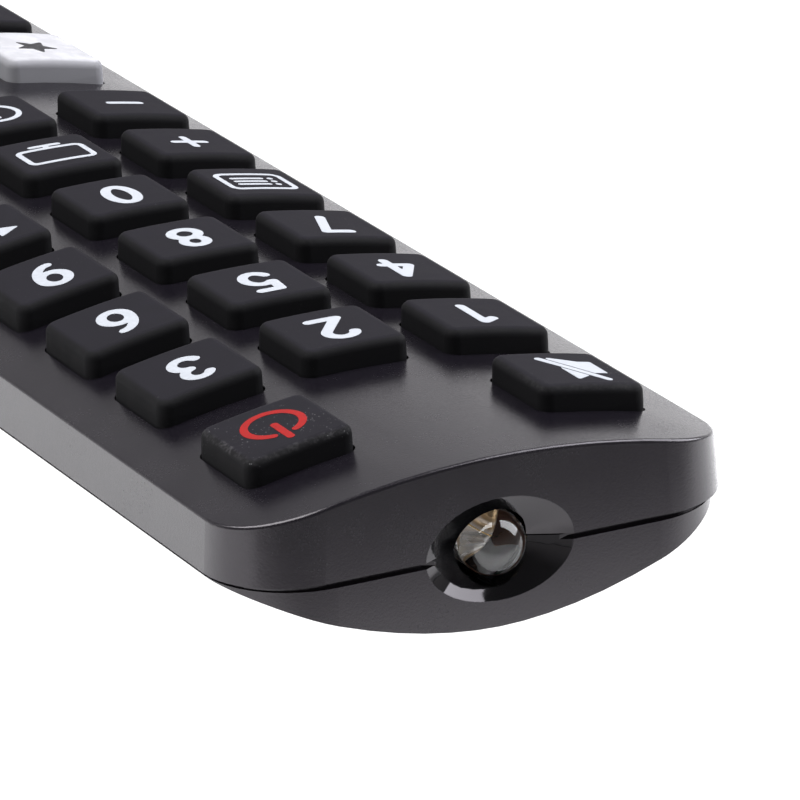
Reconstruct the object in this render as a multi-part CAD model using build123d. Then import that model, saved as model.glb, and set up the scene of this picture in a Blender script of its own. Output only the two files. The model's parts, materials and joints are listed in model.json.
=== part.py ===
from build123d import *
import math
import os

# Handheld infrared remote control, built in millimetres.
# Local frame while modelling: X across, Y towards the infrared LED, Z up, with Z = 0 on the parting plane of the two
# housings and Y = 0 just ahead of the middle of keys 1 2 3. At the end everything is lifted so that the base lies on Z = 0 and the
# origin is in the middle of the footprint.

# ---- overall ----
HALF_W = 20.3           # half width of the upper housing where its walls meet the deck
FOOT_W = 20.58          # half width of the upper housing at the parting line: its side walls have draft
LOW_W = 20.2            # half width of the lower housing, a little inside the upper one
FRONT_Y = 26.5          # flat front face
TAIL_Y = -147.72        # tail face
FRONT_R = 6.5           # plan corner radius at the front
LOW_R = 7.1             # the same for the lower housing
TAIL_R = 8.0            # plan corner radius at the tail
WALL = 1.6
CROWN_R = 69.9          # the deck is a cylinder lying along Y
CROWN_H = 7.1           # height of the deck's middle above the parting plane
EDGE_R = 0.28           # rounding between deck and walls
BASE_Z = -12.98         # flat base
SEAM_H = 0.45           # shadow line between the housings
SEAM_D = 0.5
RIM = 0.50              # upright rim of the lower housing, above the curve of the belly

# ---- infrared LED, a standard 5 mm lens ----
LED_R = 2.5
LED_Z = 0.07
LED_TIP_Y = 27.58
LED_LEN = 8.6
LED_FLANGE_R = 2.9
HOLE_R = 2.95
HOLE_Z = -0.2
MOUTH_RX = 6.05         # oval mouth of the recess
MOUTH_RZ = 3.95
MOUTH_Z = -0.06
SIDE_SLOPE = 0.54       # depth gained per millimetre inwards, at the sides, the top and the bottom of the recess
TOP_SLOPE = 0.60
LOW_SLOPE = 0.80

# ---- keys ----
PITCH_X = 11.9
PITCH_Y = 12.83
KEY_W = 8.56            # at the top
KEY_L = 8.8
KEY_RISE = 1.95         # above the deck
KEY_FLARE = 0.08        # each side, down to the deck
KEY_CORNER = 1.0
KEY_GAP = 0.13          # key to aperture
KEY_EDGE_R = 0.7        # rounding round the top of a key
TRAVEL = 0.8
LIP_OUT = 0.6           # flange under the deck
WIDE_W = 8.8            # the two light keys
WIDE_L = 10.2
WIDE_X = 12.3
WIDE_LIP = 0.6
FLANGE_Z0 = 2.65
FLANGE_Z1 = 3.05
PILL_Z = 2.25
PILL_R = 2.5

# ---- inside ----
PCB_Z0 = 0.4
PCB_T = 1.0
PCB_HALF = 16.8
MAT_T = 0.8
CELL_R = 5.25           # AAA cell
CELL_LEN = 44.5
CELL_X = 5.65
CELL_Z = -5.85
BAY_Y0 = -134.6
BAY_Y1 = -84.0
COVER_Y = -78.0         # front edge of the battery cover
COVER_HALF = 16.5
COVER_TOP = -4.1        # top of the cover's tail wall
SLIDE_GAP = 0.15
SCREW_Y = -143.3

Y_SHIFT = (LED_TIP_Y - TAIL_Y) / 2 - LED_TIP_Y
Z_SHIFT = -BASE_Z

ROW_1 = -0.47
ROWS = {
    "top": 14.58, "r1": ROW_1, "r2": ROW_1 - PITCH_Y, "r3": ROW_1 - 2 * PITCH_Y, "r4": ROW_1 - 3 * PITCH_Y,
    "r5": ROW_1 - 4 * PITCH_Y, "r6": ROW_1 - 5 * PITCH_Y, "mid": -83.97, "n1": -97.0, "n2": -109.6, "n3": -122.2,
    "last": -134.8,
}
# name, x, y, kind
KEYS = [
    ("key_mute", -PITCH_X, ROWS["top"], "std"), ("key_power", PITCH_X, ROWS["top"], "std"),
    ("key_1", -PITCH_X, ROWS["r1"], "std"), ("key_2", 0, ROWS["r1"], "std"), ("key_3", PITCH_X, ROWS["r1"], "std"),
    ("key_4", -PITCH_X, ROWS["r2"], "std"), ("key_5", 0, ROWS["r2"], "std"), ("key_6", PITCH_X, ROWS["r2"], "std"),
    ("key_7", -PITCH_X, ROWS["r3"], "std"), ("key_8", 0, ROWS["r3"], "std"), ("key_9", PITCH_X, ROWS["r3"], "std"),
    ("key_list", -PITCH_X, ROWS["r4"], "std"), ("key_0", 0, ROWS["r4"], "std"), ("key_recall", PITCH_X, ROWS["r4"], "std"),
    ("key_volume_up", -PITCH_X, ROWS["r5"], "std"), ("key_picture", 0, ROWS["r5"], "std"), ("key_channel_up", PITCH_X, ROWS["r5"], "std"),
    ("key_volume_down", -PITCH_X, ROWS["r6"], "std"), ("key_guide", 0, ROWS["r6"], "std"), ("key_channel_down", PITCH_X, ROWS["r6"], "std"),
    ("key_shortcut_left", -WIDE_X, ROWS["mid"], "wide"), ("key_home", 0, ROWS["mid"], "std"), ("key_shortcut_right", WIDE_X, ROWS["mid"], "wide"),
    ("key_info", -PITCH_X, ROWS["n1"], "std"), ("key_up", 0, ROWS["n1"], "std"), ("key_menu", PITCH_X, ROWS["n1"], "std"),
    ("key_left", -PITCH_X, ROWS["n2"], "std"), ("key_ok", 0, ROWS["n2"], "std"), ("key_right", PITCH_X, ROWS["n2"], "std"),
    ("key_back", -PITCH_X, ROWS["n3"], "std"), ("key_down", 0, ROWS["n3"], "std"), ("key_exit", PITCH_X, ROWS["n3"], "std"),
    ("key_rewind", -PITCH_X, ROWS["last"], "std"), ("key_play", 0, ROWS["last"], "std"), ("key_forward", PITCH_X, ROWS["last"], "std"),
]


def block(x0, x1, y0, y1, z0, z1):
    return Pos((x0 + x1) / 2, (y0 + y1) / 2, (z0 + z1) / 2) * Box(x1 - x0, y1 - y0, z1 - z0)


def rod_y(radius, x, z, y0, y1):
    return Pos(x, (y0 + y1) / 2, z) * Rot(90, 0, 0) * Cylinder(radius, y1 - y0)


def rod_z(radius, x, y, z0, z1):
    return Pos(x, y, (z0 + z1) / 2) * Cylinder(radius, z1 - z0)


def deck_z(x, extra=0.0):
    r = CROWN_R + extra
    return CROWN_H + extra - r + math.sqrt(r * r - x * x)


def crown(extra):
    r = CROWN_R + extra
    return rod_y(r, 0, CROWN_H + extra - r, TAIL_Y - 5, FRONT_Y + 5)


def plan_face(inset, w, front_r=FRONT_R):
    """Plan outline of the body moved in by inset, w half wide."""
    y0, y1 = TAIL_Y + inset, FRONT_Y - inset
    r0, r1 = max(TAIL_R - inset, 0.8), max(front_r - inset, 0.8)
    rect = Pos(0, (y0 + y1) / 2) * Rectangle(2 * w, y1 - y0)
    face = fillet(rect.vertices().filter_by(lambda v: v.Y < 0), r0)
    return fillet([v for v in face.vertices() if v.Y > (y1 - 0.01) and abs(v.X) > w - 0.01], r1)


def plan(inset, z0, z1):
    return extrude(Pos(0, 0, z0) * plan_face(inset, HALF_W - inset), z1 - z0)


def drafted(z1):
    """The upper housing's outline: side walls lean in from FOOT_W at the parting line to HALF_W at the deck."""
    lean = (FOOT_W - HALF_W) / deck_z(HALF_W)
    return loft([plan_face(0, FOOT_W), Pos(0, 0, z1) * plan_face(0, FOOT_W - lean * z1)], ruled=True)


# ---- belly ----
# y, depth, exponent p, exponent q: z = -RIM - (depth - RIM) (1 - |x/w|^p)^q
BELLY = [
    (27.5, 6.13, 2.0, 1.13), (12.0, 6.6, 2.0, 1.13), (-5.0, 7.4, 2.0, 1.12), (-22.0, 8.7, 2.0, 1.1),
    (-38.0, 11.2, 2.4, 1.08), (-54.0, 13.2, 2.8, 1.0), (-66.0, 13.7, 3.0, 1.0), (-74.0, 13.7, 3.0, 1.0),
]


def section(y, depth, p, q, inset):
    w, d = LOW_W - inset, depth - inset - RIM
    pts = []
    n = 18
    for i in range(n + 1):
        x = w * math.sin(math.pi * (i / n - 0.5))
        u = min(1.0, abs(x / w))
        pts.append((x, y, -RIM - d * max(0.0, 1 - u ** p) ** q))
    low = Spline(*[Vector(*t) for t in pts])
    corners = [Vector(*pts[-1]), Vector(w, y, 0), Vector(-w, y, 0), Vector(*pts[0])]
    return make_face([low] + [Line(a, b) for a, b in zip(corners[:-1], corners[1:])])


def belly(inset):
    front = loft([section(*s, inset) for s in BELLY])
    rear = extrude(section(*BELLY[-1], inset), amount=90, dir=(0, -1, 0))
    body = front + rear
    body = body & extrude(Pos(0, 0, -20) * plan_face(inset, LOW_W - inset, LOW_R), 20)
    body = body - block(-30, 30, TAIL_Y - 10, 40, -30, BASE_Z + inset)
    # rounded lower edge at the tail
    r = 4.0 - inset * 0.8
    y, z = TAIL_Y + inset, BASE_Z + inset
    corner = block(-30, 30, y - 1, y + r, z - 1, z + r) - Pos(0, y + r, z + r) * Rot(0, 90, 0) * Cylinder(r, 70)
    return body - corner


body_0 = belly(0)
body_wall = belly(WALL)
body_seat = belly(2.8)
body_seat_in = belly(4.0)


# ---- keys ----
def rounded(w, l, r, z0, z1, taper=0.0):
    return extrude(Pos(0, 0, z0) * RectangleRounded(w, l, r), z1 - z0, taper=taper)


def make_key(x, kind):
    w, l = (WIDE_W, WIDE_L) if kind == "wide" else (KEY_W, KEY_L)
    lip = WIDE_LIP if kind == "wide" else LIP_OUT
    bw, bl = w + 2 * KEY_FLARE, l + 2 * KEY_FLARE
    zd = deck_z(x)
    taper = math.degrees(math.atan(KEY_FLARE / KEY_RISE))
    stem = rounded(bw, bl, KEY_CORNER, FLANGE_Z0, zd)
    head = rounded(bw, bl, KEY_CORNER, zd, zd + 3.4, taper)
    solid = Pos(x, 0, 0) * (stem + head)
    solid = solid & Pos(0, 60, 0) * crown(KEY_RISE)
    top = solid.faces().sort_by(Axis.Z)[-1]
    solid = fillet(top.edges(), KEY_EDGE_R)
    solid = solid + Pos(x, 0, 0) * rounded(bw + 2 * lip, bl + 2 * lip, 1.2, FLANGE_Z0, FLANGE_Z1)
    solid = solid + rod_z(PILL_R, x, 0, PILL_Z, FLANGE_Z0 + 0.2)
    return solid


def key_plan(x, y, kind, grow):
    w, l = (WIDE_W, WIDE_L) if kind == "wide" else (KEY_W, KEY_L)
    return w + 2 * KEY_FLARE + 2 * grow, l + 2 * KEY_FLARE + 2 * grow


key_cache = {}
parts = {}
for name, x, y, kind in KEYS:
    if (x, kind) not in key_cache:
        key_cache[(x, kind)] = make_key(x, kind)
    parts[name] = Pos(0, y, 0) * key_cache[(x, kind)]


# ---- recess for the LED, shared by both housings ----
def oval(y, rx, up, down, z):
    n = 24
    turn = [2 * math.pi * i / n for i in range(n)]
    pts = [Vector(rx * math.cos(a), y, z + (up if a < math.pi else down) * math.sin(a)) for a in turn]
    return make_face([Spline(*pts, periodic=True)])


def recess_oval(depth):
    return oval(FRONT_Y - depth, MOUTH_RX - depth / SIDE_SLOPE, MOUTH_RZ - depth / TOP_SLOPE, MOUTH_RZ - depth / LOW_SLOPE, MOUTH_Z)


def recess_cuts():
    # the cone runs past the face and ends well inside the hole, so that its surface crosses both cleanly,
    # and a few microns off centre, so that no edge of it lies exactly on the parting plane
    cone = Pos(0.003, 0.01, 0.002) * loft([recess_oval(1.95), recess_oval(-0.4)], ruled=True)
    return [rod_y(HOLE_R, 0, HOLE_Z, 20.0, FRONT_Y - 0.6), cone]


hole_cut, cone_cut = recess_cuts()

# ---- upper housing ----
outer = drafted(12) & crown(0)
rim = [e for e in outer.edges() if e.center().Z > 3.0 and not (e.geom_type == GeomType.LINE and abs(e.tangent_at(0.5).Z) > 0.9)]
outer = fillet(rim, EDGE_R)
inner = plan(WALL, -1, 12) & crown(-WALL)
upper = outer - inner
upper += block(-8.6, 8.6, 22.9, FRONT_Y - 1.0, 0, 5.0) & (plan(0.3, 0, 12) & crown(-0.5))
upper -= hole_cut
upper -= cone_cut
# boss for the case screw and two pins that hold the board down
upper += rod_z(2.2, 0, SCREW_Y, -1.0, deck_z(0) - 1.0)
upper -= rod_z(1.12, 0, SCREW_Y, -2.0, 4.4)
for px in (-6.0, 6.0):
    upper += rod_z(1.2, px, -73.8, PCB_Z0 + PCB_T, deck_z(6) - 1.0)
holes = []
for name, x, y, kind in KEYS:
    w, l = key_plan(x, y, kind, KEY_GAP)
    holes.append(Pos(x, y, 0) * rounded(w, l, KEY_CORNER + KEY_GAP, 2.0, 12.0))
upper = upper - holes
# snap grooves in the side walls, for the bumps on the lower housing's lip
SNAPS = (-5.0, -45.0, -100.0)
for sy in SNAPS:
    for sx in (-1, 1):
        upper -= block(sx * (HALF_W - WALL) - 0.35, sx * (HALF_W - WALL) + 0.35, sy - 3.3, sy + 3.3, 0.3, 1.0)
parts["upper_housing"] = upper

# ---- lower housing ----
cover_zone = block(-COVER_HALF - SLIDE_GAP, COVER_HALF + SLIDE_GAP, TAIL_Y - 5, COVER_Y + SLIDE_GAP, -20, COVER_TOP + SLIDE_GAP)
cover_zone += block(-COVER_HALF - SLIDE_GAP, COVER_HALF + SLIDE_GAP, TAIL_Y + 4.5, COVER_Y + SLIDE_GAP, -20, -2.9)
lower = (body_0 - body_wall) - cover_zone
rail_x = COVER_HALF + SLIDE_GAP
seat_front = COVER_Y - 2.0
below = block(-30, 30, TAIL_Y - 5, seat_front, -20, 0)
seat = (body_seat - body_seat_in) & below
seat += body_seat & block(-30, 30, seat_front - 1.2, seat_front, -20, 0)
lower += seat
for s in (-1, 1):
    a, b = sorted((s * rail_x, s * (rail_x + 1.25)))
    lower += body_0 & block(a, b, TAIL_Y - 5, COVER_Y + SLIDE_GAP, -20, 0)
lower += (body_0 - body_seat_in) & block(-30, 30, TAIL_Y - 5, TAIL_Y + 4.5, COVER_TOP + SLIDE_GAP, 0)
# battery tub
tub = block(-12.35, 12.35, BAY_Y0 - 1.2, BAY_Y1 + 1.2, -20, PCB_Z0)
keep = body_seat + block(-30, 30, TAIL_Y + 6, 20, -0.01, PCB_Z0)
lower += tub & keep
cells_space = block(-11.15, 11.15, BAY_Y0, BAY_Y1, -20, CELL_Z)
for s in (-1, 1):
    cells_space += rod_y(CELL_R + 0.25, s * CELL_X, CELL_Z, BAY_Y0, BAY_Y1)
lower -= cells_space
cells_end = block(-9.75, 9.75, BAY_Y0, BAY_Y0 + 0.5, -20, -2.1)
lower -= cells_end
# boss under the case screw
lower += rod_z(3.2, 0, SCREW_Y, -11.5, -1.2) & body_seat
lower -= rod_z(1.3, 0, SCREW_Y, -20, 0)
lower -= rod_z(2.5, 0, SCREW_Y, -20, -5.0)
# ribs that carry the board
for ry in (8.0, -22.0, -70.0):
    rib = block(-14, 14, ry - 0.6, ry + 0.6, -20, PCB_Z0)
    lower += rib & (body_wall + block(-14, 14, ry - 0.6, ry + 0.6, -0.01, PCB_Z0))
# lip that locates the upper housing, with snap bumps
lip = plan(WALL + 0.15, -0.7, 1.0) - plan(WALL + 0.95, -1.0, 1.2)
lip += (plan(WALL - 0.1, -1.2, -0.45) - plan(WALL + 0.95, -1.3, -0.4)) & body_0
lip -= block(-9.2, 9.2, 20, 30, 0.0, 2)
lower += lip
for sy in SNAPS:
    for sx in (-1, 1):
        a, b = sorted((sx * (HALF_W - WALL - 0.3), sx * (HALF_W - WALL + 0.2)))
        lower += block(a, b, sy - 3.0, sy + 3.0, 0.45, 0.85)
lower -= rod_z(2.4, 0, SCREW_Y, -1.2, 2)
# front block and LED cradle
lower += block(-8.6, 8.6, 22.9, FRONT_Y - 1.0, -20, 0) & body_0
cradle = block(-5, 5, 20.3, 21.5, -20, 0.0) & body_wall
lower += cradle
lower -= rod_y(LED_R + 0.03, 0, LED_Z, 20.0, 21.8)
lower -= hole_cut
lower -= cone_cut
# shadow line round the outside, and the fine one across the recess
lower -= plan(-1, -SEAM_H, 0) - plan(SEAM_D, -SEAM_H - 1, 1)
lower -= block(-6.6, 6.6, 23.0, 27, -0.09, 0)
# grooves for the cover's side tongues
TONGUE_Z = (-4.0, -3.4)
TONGUE_X = 17.35
for s in (-1, 1):
    a, b = sorted((s * (rail_x - 0.2), s * (TONGUE_X + 0.15)))
    lower -= block(a, b, TAIL_Y - 5, COVER_Y - 0.8, TONGUE_Z[0] - 0.15, TONGUE_Z[1] + 0.15)
    # way out through the tail wall for the webs under the tongues
    a, b = sorted((s * 15.75, s * rail_x))
    lower -= block(a, b, TAIL_Y - 5, TAIL_Y + 4.6, -6, TONGUE_Z[1] + 0.15)
# slots for the contact tabs
for s in (-1, 1):
    lower -= block(s * CELL_X - 1.35, s * CELL_X + 1.35, BAY_Y1 - 0.45, BAY_Y1 + 0.05, -3, PCB_Z0 + 1)
parts["lower_housing"] = lower

# ---- battery cover ----
body_hook_out = belly(1.75)
body_hook_in = belly(2.6)
cover = (body_0 - body_wall) & block(-COVER_HALF, COVER_HALF, TAIL_Y - 5, COVER_Y, -20, COVER_TOP)
for s in (-1, 1):
    a, b = sorted((s * 15.9, s * TONGUE_X))
    rail = block(a, b, TAIL_Y - 5, COVER_Y - 1.0, TONGUE_Z[0], TONGUE_Z[1])
    # web from the shell's edge up to the tongue, and the tongue itself
    a, b = sorted((s * 15.9, s * COVER_HALF))
    web = block(a, b, TAIL_Y - 5, COVER_Y, -5.6, TONGUE_Z[1])
    cover += (rail + web) & body_0 & block(-30, 30, TAIL_Y + 4.6, COVER_Y, -20, 0)
    a, b = sorted((s * 12.9, s * 15.4))
    cover += (body_0 - body_hook_in) & block(a, b, COVER_Y - 3.0, COVER_Y, -20, 0)
    cover += (body_hook_out - body_hook_in) & block(a, b, COVER_Y - 3.0, COVER_Y + 2.4, -20, 0)
# thumb grip: shallow grooves near the tail
for i in range(6):
    gy = -140.0 + i * 2.2
    cover -= Pos(0, gy, BASE_Z) * Rot(0, 90, 0) * Cylinder(0.55, 12.0)
parts["battery_cover"] = cover

# ---- keypad mat ----
mat_z = PCB_Z0 + PCB_T
mat = plan(1.95, mat_z, mat_z + MAT_T) & block(-30, 30, -140.95, 20.7, 0, 10)
mat -= block(-4.3, 4.3, 13.0, 30, 0, 10)
cuts = []
for name, x, y, kind in KEYS:
    w, l = key_plan(x, y, kind, (WIDE_LIP if kind == "wide" else LIP_OUT) + 0.3)
    cuts.append(Pos(x, y, 0) * rounded(w, l, 1.4, 0, 6))
cuts += [rod_z(1.5, px, -73.8, 0, 6) for px in (-6.0, 6.0)]
mat -= cuts
parts["keypad_mat"] = mat

# ---- circuit board and what is on it ----
pcb = block(-PCB_HALF, PCB_HALF, -140.0, 20.6, PCB_Z0, PCB_Z0 + PCB_T)
pcb = fillet(pcb.edges().filter_by(Axis.Z), 2.0)
pcb -= block(-4.3, 4.3, 16.0, 30, 0, 3)
parts["circuit_board"] = pcb

chip = block(-3.75, 3.75, -49.4, -36.6, -1.9, 0.3)
chip = chamfer(chip.edges().filter_by(Axis.Z), 0.25)
for i in range(10):
    ly = -43.0 + (i - 4.5) * 1.27
    for s in (-1, 1):
        a, b = sorted((s * 3.6, s * 5.2))
        chip += block(a, b, ly - 0.2, ly + 0.2, 0.15, PCB_Z0)
parts["controller_chip"] = chip
resonator = block(7.0, 10.0, -46.5, -39.5, -4.4, PCB_Z0)
parts["resonator"] = fillet(resonator.edges().filter_by(Axis.Z), 1.2)
capacitor = rod_z(2.5, -10.0, -32.0, -4.6, PCB_Z0)
parts["capacitor"] = fillet(capacitor.edges().sort_by(Axis.Z)[0], 0.5)
parts["transistor"] = block(6.2, 9.2, 1.0, 2.4, -0.6, PCB_Z0) + block(6.6, 8.8, 0.3, 3.1, 0.25, PCB_Z0)
resistors = [block(rx, rx + 2.0, ry, ry + 1.25, -0.15, PCB_Z0) for rx, ry in ((-6.0, 1.0), (-1.0, -6.0), (3.0, -30.0), (-4.0, -57.0))]
parts["resistors"] = Compound(children=resistors)

# ---- infrared LED and its leads ----
dome_y = LED_TIP_Y - LED_R
back_y = LED_TIP_Y - LED_LEN
led = rod_y(LED_R, 0, LED_Z, back_y, dome_y) + Pos(0, dome_y, LED_Z) * Sphere(LED_R)
flange = rod_y(LED_FLANGE_R, 0, LED_Z, back_y, back_y + 1.0) - block(LED_R, 5, back_y - 1, back_y + 2, -5, 5)
led += flange
z = LED_Z
cathode = block(1.02, 1.52, 12.5, 20.4, z - 0.25, z + 0.25) + block(1.02, 1.52, 12.5, 13.1, z, PCB_Z0)
cathode += block(-0.9, 1.52, 21.4, 22.2, z - 0.25, z + 0.25) + block(0.6, 1.52, 20.4, 21.6, z - 0.25, z + 0.25)
cathode += rod_y(1.08, 0, z, 22.08, 23.35)
cathode -= Pos(0, 23.06, z) * Rot(-90, 0, 0) * Cone(0.47, 0.93, 0.64)
anode = block(-1.52, -1.02, 12.5, 21.0, z - 0.25, z + 0.25) + block(-1.52, -1.02, 12.5, 13.1, z, PCB_Z0)
anode += block(-1.8, -1.16, 20.6, 22.88, z - 0.6, z + 0.2)
led -= [cathode, anode]
parts["ir_led"] = led
parts["led_leads"] = Compound(children=[cathode, anode])

# ---- cells, springs and contacts ----
def cell(x, tip_y, sign):
    """AAA cell whose positive tip is at tip_y and points along sign."""
    y0 = tip_y - sign * 0.9
    y1 = tip_y - sign * CELL_LEN
    a, b = sorted((y0, y1))
    can = rod_y(CELL_R, x, CELL_Z, a, b)
    can = fillet(can.edges(), 0.45)
    a, b = sorted((tip_y, y0 - sign * 0.3))
    return can + rod_y(1.9, x, CELL_Z, a, b)


front_plate = BAY_Y1 - 0.4
tail_plate = BAY_Y0 + 0.4
parts["battery_1"] = cell(-CELL_X, front_plate - 0.6, 1)
parts["battery_2"] = cell(CELL_X, tail_plate + 0.6, -1)
plate = block(-CELL_X - 4.0, -CELL_X + 4.0, front_plate, BAY_Y1, -9.4, -2.2) + block(-CELL_X - 1.25, -CELL_X + 1.25, front_plate, BAY_Y1, -2.4, PCB_Z0)
plate += rod_y(1.6, -CELL_X, CELL_Z, front_plate - 0.6, front_plate + 0.2)
parts["contact_positive"] = plate
plate = block(CELL_X - 4.0, CELL_X + 4.0, front_plate, BAY_Y1, -9.4, -2.2) + block(CELL_X - 1.25, CELL_X + 1.25, front_plate, BAY_Y1, -2.4, PCB_Z0)
parts["contact_negative"] = plate
plate = block(-9.6, 9.6, BAY_Y0, tail_plate, -9.4, -2.2)
plate += rod_y(1.6, CELL_X, CELL_Z, tail_plate - 0.2, tail_plate + 0.6)
parts["contact_bridge"] = plate


def spring(x, y0, y1):
    wire = 0.3
    path = Helix(pitch=1.15, height=(y1 - y0) - 2 * wire - 0.04, radius=2.9, center=(x, y0 + wire + 0.02, CELL_Z), direction=(0, 1, 0))
    start = path @ 0
    prof = Plane(origin=start, z_dir=path % 0) * Circle(wire)
    return sweep(prof, path=path, is_frenet=True)


springs = [
    spring(-CELL_X, tail_plate, front_plate - 0.6 - CELL_LEN),
    spring(CELL_X, tail_plate + 0.6 + CELL_LEN, front_plate),
]
parts["battery_springs"] = Compound(children=springs)

# ---- case screw ----
screw = rod_z(1.1, 0, SCREW_Y, -5.2, 4.0) + rod_z(2.1, 0, SCREW_Y, -6.4, -5.0)
slot = block(-0.3, 0.3, SCREW_Y - 1.3, SCREW_Y + 1.3, -7, -5.7) + block(-1.3, 1.3, SCREW_Y - 0.3, SCREW_Y + 0.3, -7, -5.7)
parts["case_screw"] = screw - slot

# ---- write ----
for half in (upper, lower):
    left = half & Pos(0.003, 0.01, 0.002) * rod_y(HOLE_R - 0.05, 0, HOLE_Z, 23.0, FRONT_Y + 1)
    print("left in the LED hole:", 0 if left is None else round(sum(q.volume for q in left.solids()), 3))
os.makedirs("parts", exist_ok=True)
for name, shape in parts.items():
    moved = Pos(0, Y_SHIFT, Z_SHIFT) * shape
    export_step(moved, os.path.join("parts", name + ".step"))
print(len(parts), "nodes, shift", round(Y_SHIFT, 4), round(Z_SHIFT, 4))
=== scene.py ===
import json
import math

import bpy
import numpy as np
from mathutils import Matrix, Vector
from mathutils.bvhtree import BVHTree


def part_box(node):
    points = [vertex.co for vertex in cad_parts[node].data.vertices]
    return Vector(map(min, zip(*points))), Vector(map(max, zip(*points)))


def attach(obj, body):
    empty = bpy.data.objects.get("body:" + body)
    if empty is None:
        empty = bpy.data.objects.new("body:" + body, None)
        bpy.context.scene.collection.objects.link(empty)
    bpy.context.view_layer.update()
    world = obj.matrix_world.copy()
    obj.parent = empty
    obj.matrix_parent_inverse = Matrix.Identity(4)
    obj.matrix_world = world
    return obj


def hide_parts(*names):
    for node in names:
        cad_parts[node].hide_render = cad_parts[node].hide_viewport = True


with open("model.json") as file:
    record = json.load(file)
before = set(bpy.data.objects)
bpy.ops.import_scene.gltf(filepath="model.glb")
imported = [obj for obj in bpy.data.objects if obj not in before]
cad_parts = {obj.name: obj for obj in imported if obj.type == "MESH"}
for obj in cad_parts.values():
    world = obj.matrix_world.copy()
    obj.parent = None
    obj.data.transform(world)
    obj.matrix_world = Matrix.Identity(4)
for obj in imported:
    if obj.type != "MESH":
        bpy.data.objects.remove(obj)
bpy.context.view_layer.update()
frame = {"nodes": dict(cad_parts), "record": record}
nodes = frame["nodes"]
MM = 0.001
LED_Z = 13.05            # axis of the infrared LED, row frame, mm
LED_TIP = 87.65
LED_R = 2.5
LED_BACK = 79.05


# ---------------------------------------------------------------- node helpers
class Nodes:
    """Builds one material's node tree."""

    def __init__(self, name):
        self.mat = bpy.data.materials.new(name)
        self.mat.use_nodes = True
        self.tree = self.mat.node_tree
        self.bsdf = next(n for n in self.tree.nodes if n.type == "BSDF_PRINCIPLED")
        self.coord = self.tree.nodes.new("ShaderNodeTexCoord").outputs["Object"]

    def put(self, socket, value):
        if isinstance(value, bpy.types.NodeSocket):
            self.tree.links.new(value, socket)
        elif value is not None:
            socket.default_value = value

    def math(self, op, a, b=None, c=None, clamp=False):
        n = self.tree.nodes.new("ShaderNodeMath")
        n.operation = op
        n.use_clamp = clamp
        for i, v in enumerate((a, b, c)):
            if v is not None:
                self.put(n.inputs[i], v)
        return n.outputs[0]

    def noise(self, scale, detail=2.0, rough=0.5, vector=None, distort=0.0):
        n = self.tree.nodes.new("ShaderNodeTexNoise")
        n.inputs["Scale"].default_value = scale
        n.inputs["Detail"].default_value = detail
        n.inputs["Roughness"].default_value = rough
        n.inputs["Distortion"].default_value = distort
        self.put(n.inputs["Vector"], self.coord if vector is None else vector)
        return n.outputs["Fac"]

    def cells(self, scale, vector=None, feature="F1", randomness=1.0):
        n = self.tree.nodes.new("ShaderNodeTexVoronoi")
        n.feature = feature
        n.inputs["Scale"].default_value = scale
        n.inputs["Randomness"].default_value = randomness
        self.put(n.inputs["Vector"], self.coord if vector is None else vector)
        return n.outputs["Distance"]

    def stretch(self, x, y, z, turn=0.0):
        n = self.tree.nodes.new("ShaderNodeMapping")
        n.inputs["Scale"].default_value = (x, y, z)
        n.inputs["Rotation"].default_value = (0, 0, turn)
        self.put(n.inputs["Vector"], self.coord)
        return n.outputs[0]

    def ramp(self, value, lo, hi, a=0.0, b=1.0, smooth=True):
        n = self.tree.nodes.new("ShaderNodeMapRange")
        n.interpolation_type = "SMOOTHSTEP" if smooth else "LINEAR"
        self.put(n.inputs["Value"], value)
        n.inputs["From Min"].default_value = lo
        n.inputs["From Max"].default_value = hi
        n.inputs["To Min"].default_value = a
        n.inputs["To Max"].default_value = b
        return n.outputs["Result"]

    def mix(self, fac, a, b):
        n = self.tree.nodes.new("ShaderNodeMix")
        n.data_type = "RGBA"
        self.put(n.inputs["Factor"], fac)
        self.put(n.inputs["A"], a if isinstance(a, bpy.types.NodeSocket) else (*a, 1.0))
        self.put(n.inputs["B"], b if isinstance(b, bpy.types.NodeSocket) else (*b, 1.0))
        return n.outputs["Result"]

    def blend(self, fac, a, b):
        n = self.tree.nodes.new("ShaderNodeMix")
        n.data_type = "FLOAT"
        self.put(n.inputs["Factor"], fac)
        self.put(n.inputs["A"], a)
        self.put(n.inputs["B"], b)
        return n.outputs["Result"]

    def xyz(self, vector=None):
        n = self.tree.nodes.new("ShaderNodeSeparateXYZ")
        self.put(n.inputs[0], self.coord if vector is None else vector)
        return n.outputs[0], n.outputs[1], n.outputs[2]

    def normal_z(self):
        n = self.tree.nodes.new("ShaderNodeNewGeometry")
        return self.xyz(n.outputs["Normal"])[2]

    def bump(self, height, distance, strength=1.0, normal=None):
        n = self.tree.nodes.new("ShaderNodeBump")
        n.inputs["Distance"].default_value = distance
        self.put(n.inputs["Strength"], strength)
        self.put(n.inputs["Height"], height)
        if normal is not None:
            self.put(n.inputs["Normal"], normal)
        return n.outputs["Normal"]

    def finish(self, color=None, rough=None, normal=None, **constants):
        self.put(self.bsdf.inputs["Base Color"], (*color, 1.0) if isinstance(color, tuple) else color)
        self.put(self.bsdf.inputs["Roughness"], rough)
        if normal is not None:
            self.put(self.bsdf.inputs["Normal"], normal)
        for k, v in constants.items():
            self.bsdf.inputs[k.replace("_", " ")].default_value = v
        return self.mat


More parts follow.
